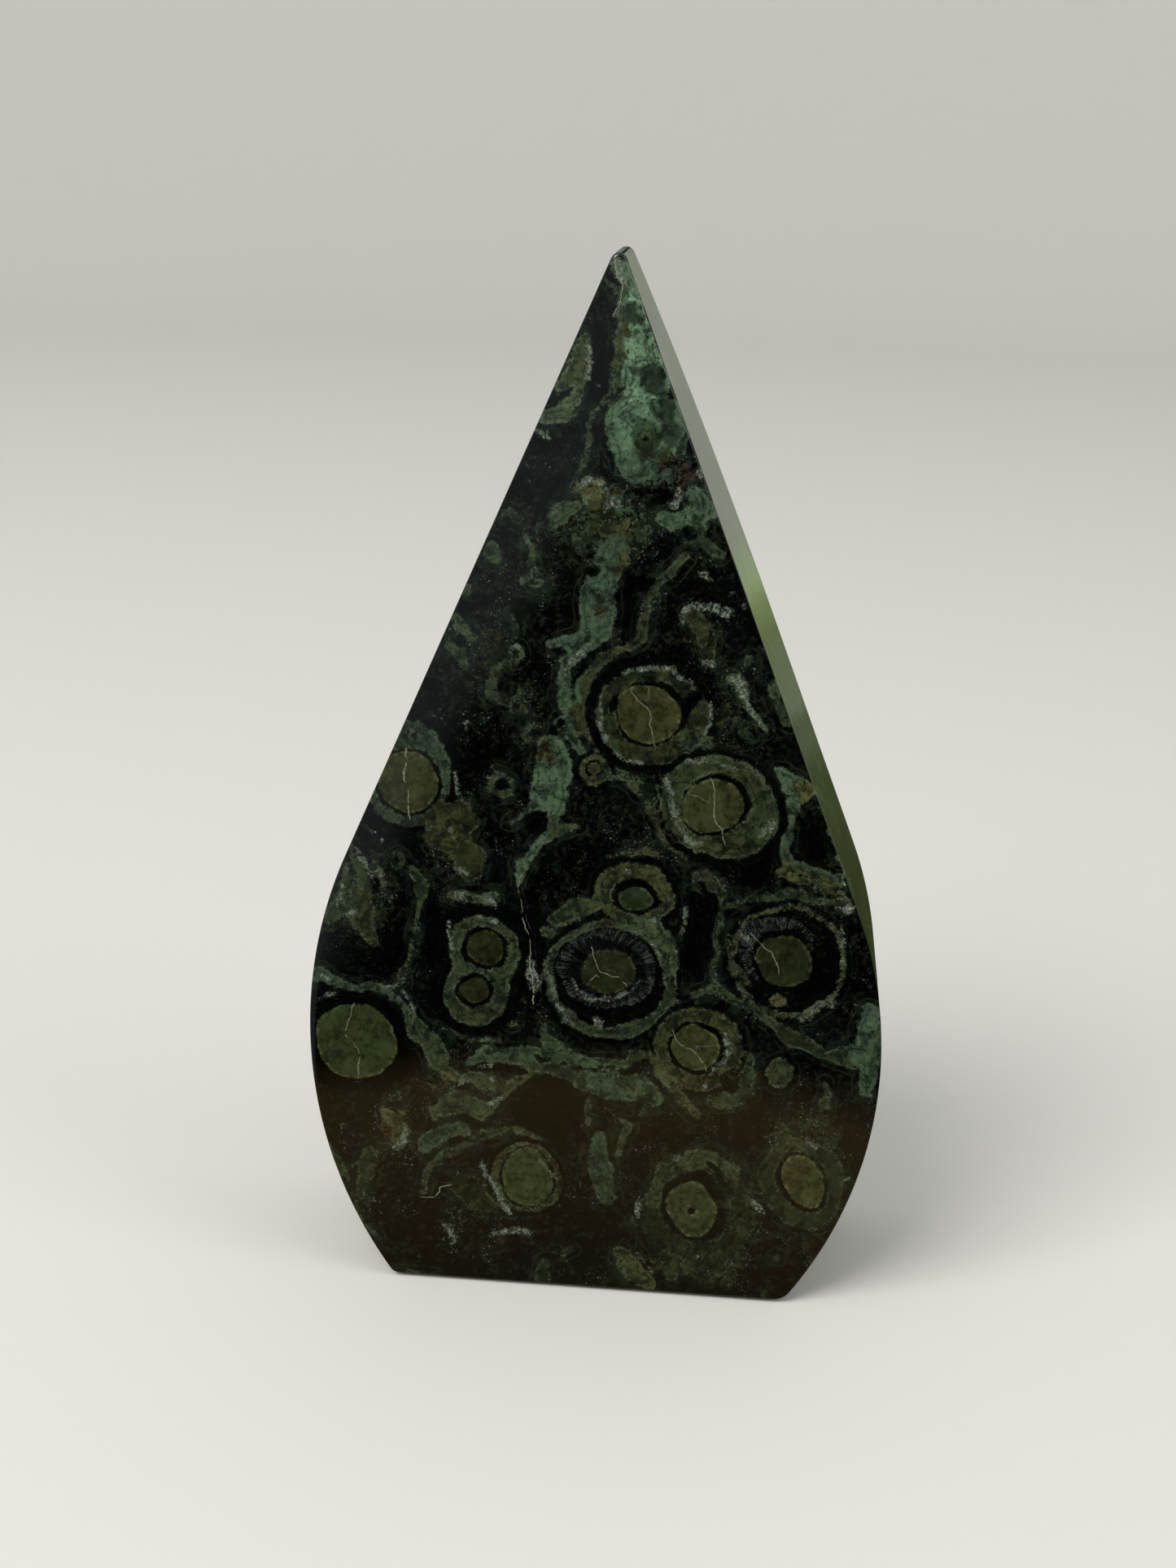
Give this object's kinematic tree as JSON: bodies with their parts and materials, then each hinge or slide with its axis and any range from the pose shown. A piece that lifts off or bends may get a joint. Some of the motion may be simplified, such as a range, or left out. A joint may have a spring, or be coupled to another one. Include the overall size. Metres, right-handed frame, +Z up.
{
  "type": "polished jasper flame",
  "caption": "Polished drop-shaped slab of orbicular green and black jasper that stands upright on its flat sawn base.",
  "frame": {"origin": "centre of the stone's box, on the surface that it stands on", "axes": "+Z up along the stone's height, broad front face towards -Y, thickness along Y"},
  "size_m": [0.066, 0.027, 0.12],
  "materials": {
    "jasper": "glassy polish"
  },
  "bodies": {
    "root": {"jasper_flame": "jasper"}
  },
  "joints": []
}
